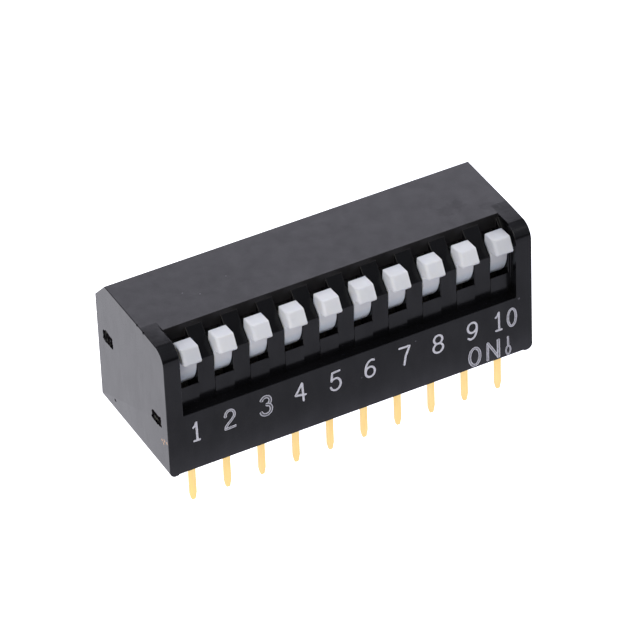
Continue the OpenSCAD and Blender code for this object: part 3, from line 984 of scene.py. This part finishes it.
# The camera: where it looks from in degrees, the point it looks at and its distance in millimetres.
CAMERA_AZIMUTH, CAMERA_ELEVATION, CAMERA_ROLL = 26.846, 37.467, -2.345
CAMERA_AIM = (1.1430, 1.7143, 2.7692)
CAMERA_DISTANCE = 322.96
CAMERA_LENS = 274.61


def add_stage_mesh(name, shape, finish, seen_by_camera):
    """A part of the studio that either only the camera sees, or only the light does."""
    mesh = bpy.data.meshes.new(name)
    shape.to_mesh(mesh)
    shape.free()
    mesh.materials.append(finish)
    made = bpy.data.objects.new(name, mesh)
    made.visible_camera = seen_by_camera
    made.visible_diffuse = made.visible_glossy = made.visible_transmission = not seen_by_camera
    made.visible_shadow = not seen_by_camera
    SCENE.collection.objects.link(made)


def add_floor():
    """A plain pale table under the pins' tips, and a plain dome over it."""
    for name, finish, seen in (("floor", floor_white(), True), ("table", table_paper(), False)):
        shape = bmesh.new()
        bmesh.ops.create_circle(shape, cap_ends=True, segments=64, radius=STAGE_RADIUS)
        bmesh.ops.translate(shape, vec=(0, 0, PIN_TIP), verts=shape.verts)
        add_stage_mesh(name, shape, finish, seen)
    dome = bmesh.new()
    bmesh.ops.create_uvsphere(dome, u_segments=48, v_segments=24, radius=STAGE_RADIUS)
    bmesh.ops.delete(dome, geom=[v for v in dome.verts if v.co.z < -0.01], context="VERTS")
    add_stage_mesh("backdrop", dome, bpy.data.materials["studio_white"], True)


def add_panel_light(name, azimuth, elevation, width, height, brightness, tint):
    """A soft rectangular light facing the object."""
    lamp = bpy.data.lights.new(name, "AREA")
    lamp.shape = "RECTANGLE"
    lamp.size, lamp.size_y = width, height
    lamp.energy = brightness * math.pi * width * height
    lamp.color = tint
    holder = bpy.data.objects.new(name, lamp)
    az, el = math.radians(azimuth), math.radians(elevation)
    way = Vector((math.cos(el) * math.sin(az), math.cos(el) * math.cos(az), math.sin(el)))
    across = Vector((math.cos(az), -math.sin(az), 0))
    turn = Matrix((across, way.cross(across), way)).transposed()
    holder.matrix_world = Matrix.Translation(way * PANEL_DISTANCE) @ turn.to_4x4()
    holder.visible_camera = False
    SCENE.collection.objects.link(holder)


def add_lights():
    """Soft studio light: a dim even surround, and soft panels behind, above and beside the object."""
    world = bpy.data.worlds.new("surround")
    world.use_nodes = True
    surround = world.node_tree.nodes["Background"]
    surround.inputs["Color"].default_value = (1, 1, 1, 1)
    surround.inputs["Strength"].default_value = WORLD_LIGHT
    SCENE.world = world
    for panel in PANELS:
        add_panel_light(*panel)


def add_camera():
    """The scene's camera: a long lens from the front left and above, aimed near the case's middle."""
    azimuth, elevation, roll = map(math.radians, (CAMERA_AZIMUTH, CAMERA_ELEVATION, CAMERA_ROLL))
    aim, distance = Vector(CAMERA_AIM) * MM, CAMERA_DISTANCE * MM
    forward = Vector((
        math.cos(elevation) * math.sin(azimuth),
        math.cos(elevation) * math.cos(azimuth),
        -math.sin(elevation)))
    level = Vector((math.cos(azimuth), -math.sin(azimuth), 0))
    right = level * math.cos(roll) + level.cross(forward) * math.sin(roll)
    up = right.cross(forward)
    turn = Matrix((right, up, -forward)).transposed()
    lens = bpy.data.cameras.new("camera")
    lens.sensor_width = 36
    lens.lens = CAMERA_LENS
    lens.clip_start = 0.01
    lens.clip_end = 20
    camera = bpy.data.objects.new("camera", lens)
    camera.matrix_world = Matrix.Translation(aim - forward * distance) @ turn.to_4x4()
    SCENE.collection.objects.link(camera)
    SCENE.camera = camera


add_camera()
add_floor()
add_lights()
SCENE.view_settings.view_transform = "Standard"

add_case()
add_base()
add_terminals()
add_sliders()
add_levers()
add_lettering()
